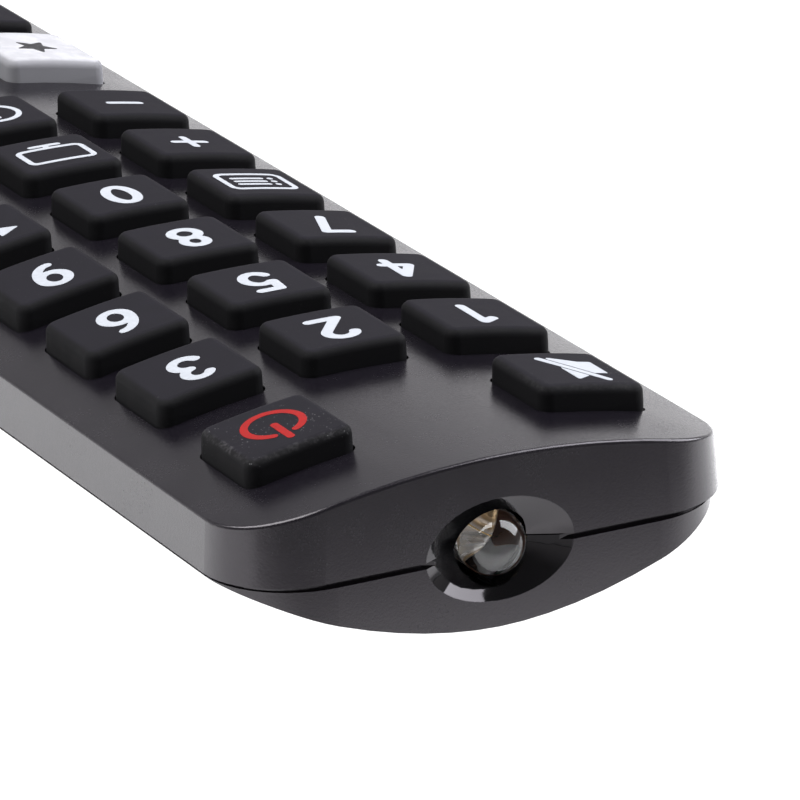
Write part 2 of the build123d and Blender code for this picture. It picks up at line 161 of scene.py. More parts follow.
# ---------------------------------------------------------------- materials
def housing_material(name):
    """Matt ABS with a fine spark-eroded grain; the recess round the LED is polished."""
    m = Nodes(name)
    x, y, z = m.xyz()
    # inside the oval of the recess and behind the front face
    ex = m.math("DIVIDE", x, 6.2 * MM)
    ez = m.math("DIVIDE", m.math("SUBTRACT", z, 12.92 * MM), 4.1 * MM)
    inside = m.math("LESS_THAN", m.math("ADD", m.math("MULTIPLY", ex, ex), m.math("MULTIPLY", ez, ez)), 1.0)
    behind = m.math("LESS_THAN", y, 86.545 * MM)
    near = m.math("GREATER_THAN", y, 78.0 * MM)
    polish = m.math("MULTIPLY", m.math("MULTIPLY", inside, behind), near)
    grain = m.noise(5200, 3.0, 0.62)
    cloud = m.noise(160, 3.0, 0.55)
    dust = m.math("MULTIPLY", m.ramp(m.cells(1500), 0.10, 0.03), m.ramp(m.noise(90, 2.0), 0.56, 0.68))
    color = m.mix(grain, (0.0028, 0.0022, 0.0038), (0.0050, 0.0042, 0.0064))
    color = m.mix(m.ramp(cloud, 0.35, 0.7, 0.0, 0.22), color, (0.0066, 0.0058, 0.0080))
    color = m.mix(m.math("MULTIPLY", dust, 0.35), color, (0.10, 0.10, 0.105))
    color = m.mix(polish, color, (0.0025, 0.0025, 0.0028))
    rough = m.ramp(grain, 0.3, 0.7, 0.18, 0.26)
    rough = m.math("ADD", rough, m.ramp(cloud, 0.3, 0.7, -0.02, 0.03))
    rough = m.blend(polish, rough, m.ramp(m.noise(700, 2.0), 0.3, 0.7, 0.03, 0.06))
    height = m.math("MULTIPLY", grain, m.math("SUBTRACT", 1.0, m.math("MULTIPLY", polish, 0.97)))
    return m.finish(color, rough, m.bump(height, 0.000021, 0.44), IOR=1.5, Specular_Tint=(1.0, 0.95, 1.0, 1.0))


def rubber_material(name, dusty, top=(0.0118, 0.0112, 0.0138), side=(0.0036, 0.0035, 0.0041), speck=(0.10, 0.10, 0.105), rough=(0.78, 0.70), worn=0.0):
    """Matt silicone: the tops are chalkier and hold lint; the sides get a darker colour chosen by which way they face,
    which is painted shade, and are a little smoother.
    """
    m = Nodes(name)
    nz = m.normal_z()
    up = m.ramp(nz, 0.72, 0.97)
    fine = m.noise(6500, 2.0, 0.6)
    cloud = m.noise(420, 4.0, 0.6)
    patch = m.ramp(m.noise(260, 3.0, 0.6, distort=0.6), 0.50, 0.72)
    dots = m.ramp(m.cells(2300), 0.16, 0.05)
    lint = m.ramp(m.cells(1300, m.stretch(1.0, 0.16, 1.0, 0.6)), 0.060, 0.018)
    lint2 = m.ramp(m.cells(1100, m.stretch(0.14, 1.0, 1.0, -0.35)), 0.055, 0.016)
    specks = m.math("MAXIMUM", m.math("MULTIPLY", dots, patch), m.math("MULTIPLY", m.math("MAXIMUM", lint, lint2), m.ramp(m.noise(330, 2.0), 0.52, 0.66)))
    amount = m.math("MULTIPLY", specks, m.math("ADD", m.math("MULTIPLY", up, 0.75 * dusty), 0.22 * dusty))
    chalk = m.math("MULTIPLY", m.ramp(cloud, 0.36, 0.72), m.math("ADD", m.math("MULTIPLY", up, 0.30), 0.05 * dusty))
    # painted shade: sideways-facing surfaces take the darker side colour, upward-facing tops the lighter top colour
    color = m.mix(up, side, top)
    color = m.mix(chalk, color, tuple(min(1.0, c * 1.75) for c in top))
    color = m.mix(amount, color, speck)
    if worn:
        # rounded edge of the top, rubbed pale in patches
        rim = m.math("MULTIPLY", m.ramp(nz, 0.20, 0.60), m.ramp(nz, 0.99, 0.90))
        rubbed = m.math("MULTIPLY", rim, m.ramp(m.noise(240, 2.0), 0.42, 0.62, 0.25, 1.0))
        rubbed = m.math("MULTIPLY", rubbed, m.ramp(m.noise(2400, 5.0, 0.75), 0.42, 0.66))
        flecks = m.math("MULTIPLY", m.ramp(m.cells(3100), 0.20, 0.08), m.ramp(nz, 0.15, 0.7, 0.25, 1.0))
        flecks = m.math("MULTIPLY", flecks, m.ramp(m.noise(300, 2.0), 0.50, 0.64))
        color = m.mix(m.math("MULTIPLY", rubbed, worn), color, (0.060, 0.058, 0.062))
        color = m.mix(m.math("MULTIPLY", flecks, worn), color, (0.13, 0.13, 0.135))
    r = m.blend(up, rough[1], rough[0])
    r = m.math("ADD", r, m.ramp(cloud, 0.3, 0.7, -0.03, 0.04))
    height = m.math("ADD", m.math("MULTIPLY", fine, 0.6), m.math("MULTIPLY", specks, 0.9 * dusty))
    return m.finish(color, r, m.bump(height, 0.000012, 0.6), IOR=1.42, Specular_IOR_Level=0.12)


def print_material(name, color, worn):
    m = Nodes(name)
    n = m.noise(2600, 3.0, 0.6)
    c = m.mix(m.ramp(n, 0.30, 0.72), tuple(x * worn for x in color), color)
    return m.finish(c, m.ramp(n, 0.3, 0.7, 0.42, 0.55), m.bump(n, 0.000006, 0.5), IOR=1.48, Specular_IOR_Level=0.12)


def metal_material(name, color, rough, streak=(1.0, 0.05, 1.0), tint=None):
    m = Nodes(name)
    lines = m.noise(5200, 3.0, 0.6, m.stretch(*streak))
    spots = m.noise(900, 3.0, 0.6)
    c = m.mix(m.ramp(lines, 0.3, 0.7), tuple(x * 0.86 for x in color), color)
    if tint:
        c = m.mix(m.ramp(spots, 0.45, 0.75, 0.0, 0.6), c, tint)
    r = m.math("ADD", m.ramp(lines, 0.3, 0.7, rough - 0.06, rough + 0.06), m.ramp(spots, 0.3, 0.7, -0.03, 0.05))
    return m.finish(c, r, m.bump(lines, 0.000006, 0.4), Metallic=1.0)


def moulded_material(name, a, b, rough, grain=4000):
    m = Nodes(name)
    g = m.noise(grain, 3.0, 0.6)
    cloud = m.noise(300, 3.0)
    c = m.mix(m.ramp(g, 0.3, 0.7), a, b)
    r = m.math("ADD", m.ramp(g, 0.3, 0.7, rough - 0.04, rough + 0.05), m.ramp(cloud, 0.3, 0.7, -0.03, 0.03))
    return m.finish(c, r, m.bump(g, 0.000015, 0.5))


def board_material(name):
    """Green solder mask over faint tracks."""
    m = Nodes(name)
    x, y, z = m.xyz()
    track_x = m.math("LESS_THAN", m.math("ABSOLUTE", m.math("SUBTRACT", m.math("FRACT", m.math("DIVIDE", x, 1.27 * MM)), 0.5)), 0.16)
    track_y = m.math("LESS_THAN", m.math("ABSOLUTE", m.math("SUBTRACT", m.math("FRACT", m.math("DIVIDE", y, 1.27 * MM)), 0.5)), 0.16)
    zone = m.math("GREATER_THAN", m.noise(150, 0.0), 0.52)
    track = m.blend(zone, track_x, track_y)
    track = m.math("MULTIPLY", track, m.math("GREATER_THAN", m.noise(90, 0.0), 0.45))
    weave = m.noise(2600, 2.0)
    base = m.mix(weave, (0.012, 0.085, 0.035), (0.018, 0.110, 0.045))
    color = m.mix(track, base, (0.045, 0.210, 0.075))
    height = m.math("ADD", track, m.math("MULTIPLY", weave, 0.25))
    return m.finish(color, m.ramp(weave, 0.3, 0.7, 0.26, 0.36), m.bump(height, 0.00003, 0.6))


def cell_material(name, positive_y, sign):
    m = Nodes(name)
    x, y, z = m.xyz()
    d = m.math("MULTIPLY", m.math("SUBTRACT", y, positive_y * MM), float(-sign))   # distance from the positive tip
    g = m.noise(1500, 3.0)
    metal = m.math("MAXIMUM", m.math("LESS_THAN", d, 1.35 * MM), m.math("GREATER_THAN", d, 44.0 * MM))
    band = m.math("LESS_THAN", d, 9.0 * MM)
    line = m.math("LESS_THAN", m.math("ABSOLUTE", m.math("SUBTRACT", d, 9.6 * MM)), 0.25 * MM)
    color = m.mix(m.ramp(g, 0.3, 0.7), (0.030, 0.055, 0.085), (0.036, 0.064, 0.098))
    color = m.mix(band, color, (0.42, 0.44, 0.46))
    color = m.mix(line, color, (0.55, 0.56, 0.58))
    color = m.mix(metal, color, (0.62, 0.61, 0.59))
    r = m.blend(metal, m.ramp(g, 0.3, 0.7, 0.30, 0.38), 0.27)
    m.put(m.bsdf.inputs["Metallic"], metal)
    return m.finish(color, r, m.bump(g, 0.00001, 0.3))


HOUSING = housing_material("housing_abs")
COVER = housing_material("cover_abs")
# every key material gets a side colour darker than its top: painted shade on the key sides
KEY = rubber_material("key_silicone", 0.35, top=(0.0070, 0.0064, 0.0088))
KEY_DUSTY = rubber_material("key_silicone_dusty", 1.0, top=(0.0073, 0.0067, 0.0091), worn=0.75)
KEY_MUTE = rubber_material("key_silicone_smudged", 0.9, top=(0.0073, 0.0067, 0.0091), worn=0.16)
KEY_LIGHT = rubber_material("key_silicone_light", 0.25, top=(0.30, 0.30, 0.315), side=(0.22, 0.22, 0.235), speck=(0.17, 0.17, 0.175))
MAT = rubber_material("keypad_silicone", 0.2)
WHITE = print_material("print_white", (0.33, 0.345, 0.375), 0.90)
RED = print_material("print_red", (0.235, 0.0068, 0.0064), 0.80)
DARK = print_material("print_dark", (0.012, 0.012, 0.014), 1.6)
BOARD = board_material("solder_mask")
BLACK = moulded_material("epoxy_black", (0.012, 0.012, 0.013), (0.022, 0.022, 0.024), 0.42)
AMBER = moulded_material("dipped_amber", (0.42, 0.18, 0.030), (0.58, 0.27, 0.05), 0.24, 900)
SLEEVE = moulded_material("capacitor_sleeve", (0.012, 0.018, 0.055), (0.016, 0.024, 0.070), 0.26, 1500)
SPRING = metal_material("nickel_spring", (0.66, 0.65, 0.63), 0.24, (1.0, 1.0, 1.0))
CONTACT = metal_material("nickel_contact", (0.70, 0.69, 0.66), 0.27, (1.0, 1.0, 0.05))
SCREW = metal_material("zinc_screw", (0.40, 0.40, 0.41), 0.34, (1.0, 1.0, 0.1))
LEAD = metal_material("tinned_lead_frame", (0.92, 0.88, 0.80), 0.20, (1.0, 0.08, 1.0), (0.72, 0.56, 0.34))
GOLD = metal_material("bond_wire_gold", (0.90, 0.62, 0.25), 0.14)


def glass_material(name):
    m = Nodes(name)
    swirl = m.noise(420, 2.0)
    return m.finish((0.985, 0.985, 0.99), m.ramp(swirl, 0.3, 0.7, 0.0, 0.006), m.bump(swirl, 0.000002, 0.20), IOR=1.54, Transmission_Weight=1.0)


GLASS = glass_material("clear_epoxy")
DIE = moulded_material("die", (0.030, 0.006, 0.005), (0.060, 0.012, 0.009), 0.20)
# painted shade: the anode post is coloured dark brown, standing in for the shaded, darkly reflecting core of the LED
POST_PAINTED_DARK = metal_material("lead_post_painted_shade", (0.16, 0.085, 0.060), 0.34, (1.0, 0.08, 1.0), (0.07, 0.030, 0.022))
BASE = moulded_material("milky_epoxy", (0.50, 0.50, 0.51), (0.72, 0.72, 0.72), 0.50, 1600)


def cup_material(name):
    """Stamped, silver-plated lead frame: bright ribs with dull warm ones between."""
    m = Nodes(name)
    ribs = m.noise(2500, 2.0, 0.5, m.stretch(0.10, 0.10, 1.0, 0.25))
    fine = m.noise(5200, 3.0, 0.6, m.stretch(0.15, 0.15, 1.0, 0.25))
    band = m.ramp(ribs, 0.46, 0.54)
    c = m.mix(band, (0.40, 0.27, 0.14), (0.98, 0.97, 0.95))
    c = m.mix(m.ramp(fine, 0.35, 0.7, 0.0, 0.22), c, (0.80, 0.68, 0.50))
    r = m.math("ADD", m.blend(band, 0.34, 0.24), m.ramp(fine, 0.3, 0.7, -0.04, 0.06))
    return m.finish(c, r, m.bump(ribs, 0.00030, 1.0), Metallic=0.85)


CUP = cup_material("silver_cup")

BY_SLOT = {
    "housing_plastic": HOUSING, "cover_plastic": COVER, "key_rubber": KEY, "light_key_rubber": KEY_LIGHT, "mat_rubber": MAT,
    "board": BOARD, "component_black": BLACK, "component_amber": AMBER, "component_sleeve": SLEEVE, "clear_lens": GLASS,
    "tinned_metal": LEAD, "spring_metal": SPRING, "contact_metal": CONTACT, "screw_metal": SCREW,
}
positive = {}
for part in frame["record"]["subparts"]:
    ob = nodes[part["node"]]
    mat = BY_SLOT.get(part["material_slot"])
    if part["node"] in ("key_power", "key_mute"):
        mat = KEY_DUSTY if part["node"] == "key_power" else KEY_MUTE
    if part["material_slot"] == "cell_sleeve":
        lo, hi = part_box(part["node"])
        sign = 1 if part["node"] == "battery_1" else -1
        positive[part["node"]] = ((hi.y if sign > 0 else lo.y) / MM, sign, (lo.x + hi.x) / 2 / MM, (lo.z + hi.z) / 2 / MM, (hi.x - lo.x) / 2 / MM)
        mat = cell_material("cell_sleeve_" + part["node"], positive[part["node"]][0], sign)
    if not ob.material_slots:
        ob.data.materials.append(mat)
    for s in ob.material_slots:
        s.material = mat


# ---------------------------------------------------------------- mesh helpers
def outward(verts, faces):
    """The faces, turned so that they look out of the closed shape."""
    v = np.array([tuple(p) for p in verts])
    volume = 0.0
    for f in faces:
        for a, b in zip(f[1:-1], f[2:]):
            volume += float(np.dot(v[f[0]], np.cross(v[a], v[b])))
    return faces if volume > 0 else [list(reversed(f)) for f in faces]


def make_object(name, verts, faces, material, smooth=True, sharp=None):
    faces = outward(verts, faces)
    mesh = bpy.data.meshes.new(name)
    mesh.from_pydata([tuple(v) for v in verts], [], faces)
    mesh.validate()
    mesh.materials.append(material)
    ob = bpy.data.objects.new(name, mesh)
    bpy.context.scene.collection.objects.link(ob)
    if smooth:
        mesh.shade_smooth()
        if sharp is not None:
            mesh.set_sharp_from_angle(angle=math.radians(sharp))
    return ob


# ---- flat shapes from distance fields, in mm
def seg(P, a, b, r):
    a, b = np.array(a, float), np.array(b, float)
    d = b - a
    t = np.clip(((P - a) @ d) / max(d @ d, 1e-12), 0, 1)
    return np.linalg.norm(P - a - t[..., None] * d, axis=-1) - r


def path(P, pts, r, closed=False):
    pts = list(pts) + ([pts[0]] if closed else [])
    out = None
    for a, b in zip(pts[:-1], pts[1:]):
        s = seg(P, a, b, r)
        out = s if out is None else np.minimum(out, s)
    return out


def arc_points(cx, cy, rx, ry, a0, a1, n=26):
    return [(cx + rx * math.cos(math.radians(a0 + (a1 - a0) * i / n)), cy + ry * math.sin(math.radians(a0 + (a1 - a0) * i / n))) for i in range(n + 1)]


def disc(P, c, r):
    return np.linalg.norm(P - np.array(c, float), axis=-1) - r


def poly(P, pts, grow=0.0):
    """Signed distance to a filled polygon."""
    pts = [np.array(p, float) for p in pts]
    best = None
    inside = np.zeros(P.shape[:-1], bool)
    for i, a in enumerate(pts):
        b = pts[(i + 1) % len(pts)]
        s = seg(P, a, b, 0.0)
        best = s if best is None else np.minimum(best, s)
        cross = ((a[1] > P[..., 1]) != (b[1] > P[..., 1]))
        with np.errstate(divide="ignore", invalid="ignore"):
            xi = (b[0] - a[0]) * (P[..., 1] - a[1]) / (b[1] - a[1] if b[1] != a[1] else 1e-12) + a[0]
        inside ^= cross & (P[..., 0] < xi)
    return np.where(inside, -best, best) - grow


def rbox(P, cx, cy, hx, hy, r):
    q = np.abs(P - np.array((cx, cy))) - np.array((hx - r, hy - r))
    return np.linalg.norm(np.maximum(q, 0), axis=-1) + np.minimum(np.max(q, axis=-1), 0) - r


def outline(d, r):
    return np.abs(d) - r


def union(*fields):
    out = fields[0]
    for f in fields[1:]:
        out = np.minimum(out, f)
    return out


def cut(a, b):
    return np.maximum(a, -b)


S = 0.385      # half the stroke of a digit
PRINT_UP = 0.47    # the prints sit a little ahead of the middle of a key


def digit(n):
    def field(P):
        P = (P - np.array((0.0, 0.0))) / np.array((1.17, 1.07) if n == 2 else (1.09, 1.03))
        if n == 0:
            return path(P, arc_points(0, 0, 0.97, 2.0, 0, 360, 44), S)
        if n == 1:
            return union(seg(P, (0.28, 2.0), (0.28, -2.0), S), seg(P, (0.28, 2.0), (-0.72, 1.15), S))
        if n == 2:
            return union(path(P, arc_points(0.0, 1.02, 0.92, 0.98, 170, -38), S), path(P, [(0.72, 0.42), (-0.92, -2.0), (0.98, -2.0)], S))
        if n == 3:
            return union(path(P, arc_points(-0.03, 1.06, 0.84, 0.94, 155, -80), S), path(P, arc_points(0.0, -0.96, 0.96, 1.04, 82, -155), S))
        if n == 4:
            return path(P, [(0.42, -2.0), (0.42, 2.0), (-1.06, -0.85), (1.08, -0.85)], S)
        if n == 5:
            return union(path(P, [(0.82, 2.0), (-0.68, 2.0), (-0.82, 0.28)], S), path(P, arc_points(-0.02, -0.70, 0.98, 1.30, 132, -152), S))
        if n == 6:
            return union(path(P, arc_points(0.0, -0.74, 0.95, 1.26, 0, 360, 40), S), path(P, arc_points(0.55, -0.60, 1.50, 2.62, 178, 92), S))
        if n == 7:
            return path(P, [(-0.95, 2.0), (0.95, 2.0), (-0.30, -2.0)], S)
        if n == 8:
            return union(path(P, arc_points(0, 1.02, 0.80, 0.96, 0, 360, 36), S), path(P, arc_points(0, -0.95, 0.97, 1.05, 0, 360, 36), S))
        return union(path(P, arc_points(0.0, 0.74, 0.95, 1.26, 0, 360, 40), S), path(P, arc_points(-0.55, 0.60, 1.50, 2.62, -2, -88), S))
    return field


def power(P):
    P = P - np.array((0.12, 0.30))
    return union(path(P, arc_points(0, -1.02, 2.16, 2.16, 114, 426, 60), 0.30), seg(P, (0, 1.93), (0, -0.85), 0.30))


def speaker(P, c=(-1.45, -0.75), k=1.0):
    Q = (P - np.array(c)) / k
    return union(poly(Q, [(-1.35, 1.10), (-0.42, 1.10), (-0.42, -1.40), (-1.35, -1.40)], 0.12), poly(Q, [(-0.55, 1.05), (1.35, 2.40), (1.35, -2.40), (-0.55, -1.35)], 0.12)) * k


def mute(P):
    body = cut(speaker(P, (-1.11, -0.34), 1.075), seg(P, (-2.1, 2.9), (1.35, -3.2), 0.47))
    return union(body, seg(P, (-1.88, 2.50), (1.13, -2.81), 0.33))


def bars(P, w=1.7, gap=1.15, r=0.27, n=3):
    return union(*[seg(P, (-w, gap * (i - (n - 1) / 2)), (w, gap * (i - (n - 1) / 2)), r) for i in range(n)])


def list_icon(P):
    P = P - np.array((0.0, -0.3))
    return union(outline(rbox(P, 0, 0, 2.75, 2.15, 0.7), 0.24), seg(P, (-0.85, 0.85), (1.7, 0.85), 0.22), seg(P, (-0.85, 0), (1.7, 0), 0.22), seg(P, (-0.85, -0.85), (1.7, -0.85), 0.22),
                 disc(P, (-1.65, 0.85), 0.27), disc(P, (-1.65, 0), 0.27), disc(P, (-1.65, -0.85), 0.27))


def recall(P):
    return union(path(P, [(-0.7, 1.2), (0.7, 1.2)] + arc_points(0.7, -0.15, 1.35, 1.35, 90, -90) + [(-1.5, -1.5)], 0.27), poly(P, [(-0.65, 2.1), (-2.2, 1.2), (-0.65, 0.3)], 0.1))


def back(P):
    return union(path(P, [(2.0, -1.4), (2.0, -0.2)] + arc_points(1.1, -0.2, 0.9, 0.9, 0, 90, 10) + [(-0.9, 0.7)], 0.27), poly(P, [(-0.75, 1.65), (-2.3, 0.7), (-0.75, -0.25)], 0.1))


def plus(P):
    return union(seg(P, (-1.35, 0), (1.35, 0), 0.33), seg(P, (0, -1.35), (0, 1.35), 0.33))


def minus(P):
    return seg(P, (-1.35, 0), (1.35, 0), 0.33)


def chevron(s):
    return lambda P: path(P, [(-1.45, -0.65 * s), (0, 0.75 * s), (1.45, -0.65 * s)], 0.33)


def picture(P):
    P = P - np.array((0.0, -0.3))
    return union(outline(rbox(P, 0, 0.35, 2.75, 1.75, 0.55), 0.24), seg(P, (-1.2, -2.15), (1.2, -2.15), 0.25), seg(P, (0, -1.5), (0, -2.1), 0.25))


def guide(P):
    return union(outline(disc(P, (0, 0), 2.15), 0.25), seg(P, (0, 0), (0, 1.25), 0.22), seg(P, (0, 0), (0.95, -0.45), 0.22))


def home(P):
    roof = path(P, [(-2.0, 0.25), (0, 1.95), (2.0, 0.25)], 0.27)
    walls = path(P, [(-1.4, 0.2), (-1.4, -1.65), (1.4, -1.65), (1.4, 0.2)], 0.25)
    return union(roof, walls, poly(P, [(-0.36, -1.6), (0.36, -1.6), (0.36, -0.45), (-0.36, -0.45)]))


def info(P):
    return union(outline(disc(P, (0, 0), 2.05), 0.25), disc(P, (0, 0.95), 0.30), seg(P, (0, 0.15), (0, -1.0), 0.27))


def tri(cx, cy, r, turn):
    def field(P):
        pts = [(cx + r * math.cos(math.radians(turn + a)), cy + r * math.sin(math.radians(turn + a))) for a in (0, 120, 240)]
        return poly(P, pts, 0.1)
    return field


def ok_icon(P):
    return union(outline(disc(P, (0, 0), 1.75), 0.27), disc(P, (0, 0), 0.55))


def cross(P):
    return union(seg(P, (-1.3, -1.3), (1.3, 1.3), 0.30), seg(P, (-1.3, 1.3), (1.3, -1.3), 0.30))


def double(turn):
    s = 1 if turn == 0 else -1
    return lambda P: union(tri(-0.95 * s, 0, 1.15, turn)(P), tri(0.95 * s, 0, 1.15, turn)(P))


def play(P):
    return union(tri(-0.9, 0, 1.25, 0)(P), seg(P, (0.95, 1.0), (0.95, -1.0), 0.27), seg(P, (1.85, 1.0), (1.85, -1.0), 0.27))


def star(P):
    pts = [((1.75 if i % 2 == 0 else 0.75) * math.cos(math.radians(90 + 36 * i)), (1.75 if i % 2 == 0 else 0.75) * math.sin(math.radians(90 + 36 * i))) for i in range(10)]
    return poly(P, pts, 0.12)


def ring(P):
    return outline(disc(P, (0, 0), 1.55), 0.33)


ICONS = {
    "key_power": (power, RED), "key_mute": (mute, WHITE), "key_list": (list_icon, WHITE), "key_recall": (recall, WHITE),
    "key_volume_up": (plus, WHITE), "key_volume_down": (minus, WHITE), "key_picture": (picture, WHITE), "key_guide": (guide, WHITE),
    "key_channel_up": (chevron(1), WHITE), "key_channel_down": (chevron(-1), WHITE), "key_home": (home, WHITE),
    "key_info": (info, WHITE), "key_menu": (bars, WHITE), "key_up": (tri(0, -0.25, 1.7, 90), WHITE), "key_down": (tri(0, 0.25, 1.7, 270), WHITE),
    "key_left": (tri(0.25, 0, 1.7, 180), WHITE), "key_right": (tri(-0.25, 0, 1.7, 0), WHITE), "key_ok": (ok_icon, WHITE),
    "key_back": (back, WHITE), "key_exit": (cross, WHITE), "key_rewind": (double(180), WHITE), "key_play": (play, WHITE),
    "key_forward": (double(0), WHITE), "key_shortcut_left": (star, DARK), "key_shortcut_right": (ring, DARK),
}
for i in range(10):
    ICONS["key_%d" % i] = (digit(i), WHITE)


def flat_mesh(field, half, step):
    """Marching squares: points and polygons of the region where field < 0, in mm."""
    n = int(round(2 * half / step)) + 1
    g = np.linspace(-half, half, n)
    X, Y = np.meshgrid(g, g, indexing="ij")
    F = field(np.stack([X, Y], -1))
    F = np.where(np.abs(F) < 1e-5, -1e-5, F)
    pts, index, faces = [], {}, []

    def at(i, j):
        k = (i, j)
        if k not in index:
            index[k] = len(pts)
            pts.append((g[i], g[j]))
        return index[k]

    def between(a, b):
        k = (min(a, b), max(a, b))
        if k not in index:
            t = min(0.98, max(0.02, F[k[0]] / (F[k[0]] - F[k[1]])))
            index[k] = len(pts)
            pts.append(tuple(np.array((g[k[0][0]], g[k[0][1]])) * (1 - t) + np.array((g[k[1][0]], g[k[1][1]])) * t))
        return index[k]

    for i in range(n - 1):
        for j in range(n - 1):
            ring = [(i, j), (i + 1, j), (i + 1, j + 1), (i, j + 1)]
            ins = [F[c] < 0 for c in ring]
            if not any(ins):
                continue
            loop = []
            for a in range(4):
                p, q = ring[a], ring[(a + 1) % 4]
                if ins[a]:
                    loop.append(at(*p))
                if ins[a] != ins[(a + 1) % 4]:
                    loop.append(between(p, q))
            if ins[0] == ins[2] and ins[1] == ins[3] and ins[0] != ins[1]:
                # two opposite corners inside: keep them as two separate triangles
                for a in range(4):
                    if ins[a]:
                        faces.append([at(*ring[a]), between(ring[a], ring[(a + 1) % 4]), between(ring[a - 1], ring[a])])
                continue
            faces.append(loop)
    return pts, faces


def solid_from(pts, faces, place, lift, sink):
    """A thin closed solid: place(x, y) gives the point and outward normal on the carrier."""
    base = [place(x, y) for x, y in pts]
    top = [p + n * lift for p, n in base]
    bottom = [p - n * sink for p, n in base]
    k = len(pts)
    out = [list(f) for f in faces] + [[v + k for v in reversed(f)] for f in faces]
    count = {}
    for f in faces:
        for a, b in zip(f, f[1:] + f[:1]):
            count[(a, b)] = count.get((a, b), 0) + 1
    for a, b in count:
        if (b, a) not in count:
            out.append([b, a, a + k, b + k])
    return top + bottom, out


def drop_on(tree, cx, cy, top):
    def place(x, y):
        hit = tree.ray_cast(Vector(((cx + x) * MM, (cy + y) * MM, top + 0.01)), Vector((0, 0, -1)))
        return hit[0], Vector((0, 0, 1))
    return place


for key, (field, mat) in ICONS.items():
    body = nodes[key]
    lo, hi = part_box(key)
    mesh = body.data
    tree = BVHTree.FromPolygons([v.co for v in mesh.vertices], [tuple(p.vertices) for p in mesh.polygons])
    cx, cy = (lo.x + hi.x) / 2 / MM, (lo.y + hi.y) / 2 / MM
    pts, faces = flat_mesh(lambda P: field(P - np.array((0.0, PRINT_UP))), 4.2, 0.1)
    verts, faces = solid_from(pts, faces, drop_on(tree, cx, cy, hi.z), 0.022 * MM, 0.012 * MM)
    ob = make_object("print_" + key[4:], verts, faces, mat, smooth=False)
    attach(ob, key)


# ---- polarity marks on the cells
def wrap(cx, cz, r, cy, turn):
    def place(x, y):
        a = turn + x / r
        n = Vector((math.sin(a), 0, math.cos(a)))
        return Vector((cx * MM, (cy + y) * MM, cz * MM)) + n * (r * MM), n
    return place


for cell, (tip, sign, cx, cz, r) in positive.items():
    for label, field, away, mat in (("plus", plus, 5.2, DARK), ("minus", minus, 39.5, WHITE)):
        for k, turn in enumerate((math.pi, 0.0)):
            pts, faces = flat_mesh(field, 2.2, 0.11)
            verts, faces = solid_from(pts, faces, wrap(cx, cz, r, tip - sign * away, turn), 0.010 * MM, 0.03 * MM)
            ob = make_object("%s_%s_%d" % (cell, label, k), verts, faces, mat, smooth=False)
            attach(ob, "root")


# ---------------------------------------------------------------- infrared LED
def revolve_y(profile, cx, cz, n=96, clamp_x=None):
    """Closed solid of revolution about a line along Y; profile is (radius, y) from the tip to the back, mm."""
    verts, faces = [Vector((cx, profile[0][1], cz)) * MM], []
    rings = []
    for r, y in profile[1:-1]:
        ring = []
        for i in range(n):
            a = 2 * math.pi * i / n
            x = r * math.cos(a)
            if clamp_x is not None:
                x = min(x, clamp_x)
            ring.append(len(verts))
            verts.append(Vector((cx + x, y, cz + r * math.sin(a))) * MM)
        rings.append(ring)
    end = len(verts)
    verts.append(Vector((cx, profile[-1][1], cz)) * MM)
    for i in range(n):
        j = (i + 1) % n
        faces.append([0, rings[0][i], rings[0][j]])
        faces.append([end, rings[-1][j], rings[-1][i]])
        for a, b in zip(rings[:-1], rings[1:]):
            faces.append([a[i], b[i], b[j], a[j]])
    return verts, faces


dome = LED_TIP - LED_R
profile = [(0.0, LED_TIP)]
for i in range(1, 31):
    a = math.radians(3 * i)
    profile.append((LED_R * math.sin(a), dome + LED_R * math.cos(a)))
profile += [(LED_R, dome - 1.2), (LED_R, dome - 2.6), (LED_R, LED_BACK + 1.12)]
profile += [(LED_R + 0.12, LED_BACK + 1.0), (2.84, LED_BACK + 1.0), (2.9, LED_BACK + 0.92), (2.9, LED_BACK + 0.08), (2.84, LED_BACK), (1.2, LED_BACK), (0.0, LED_BACK)]
verts, faces = revolve_y(profile, 0.0, LED_Z, 112, clamp_x=2.5)
lens = make_object("led_lens", verts, faces, GLASS, sharp=40)
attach(lens, "root")
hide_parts("ir_led")


def rounded_bar(points, half_x, half_z, chamfer=0.06):
    """A lead: an octagonal section carried along a list of (x, y, z) points in mm, ends closed."""
    sec = [(half_x, -half_z + chamfer), (half_x, half_z - chamfer), (half_x - chamfer, half_z), (-half_x + chamfer, half_z),
           (-half_x, half_z - chamfer), (-half_x, -half_z + chamfer), (-half_x + chamfer, -half_z), (half_x - chamfer, -half_z)]
    verts, faces = [], []
    n = len(sec)
    for k, (x, y, z, grow) in enumerate(points):
        for sx, sz in sec:
            verts.append(Vector((x + sx * grow, y, z + sz)) * MM)
        if k:
            for i in range(n):
                j = (i + 1) % n
                faces.append([(k - 1) * n + i, k * n + i, k * n + j, (k - 1) * n + j])
    faces.append(list(range(n)))
    faces.append([len(verts) - n + i for i in reversed(range(n))])
    return verts, faces


def cup_profile():
    """Reflector cup that opens towards the tip: polished bowl, rim, then the outer wall."""
    return [(0.0, 82.75), (0.40, 82.75), (0.47, 82.78), (0.90, 83.36), (0.96, 83.42), (1.03, 83.42), (1.08, 83.36), (1.08, 82.25), (1.00, 82.15), (0.0, 82.15)]


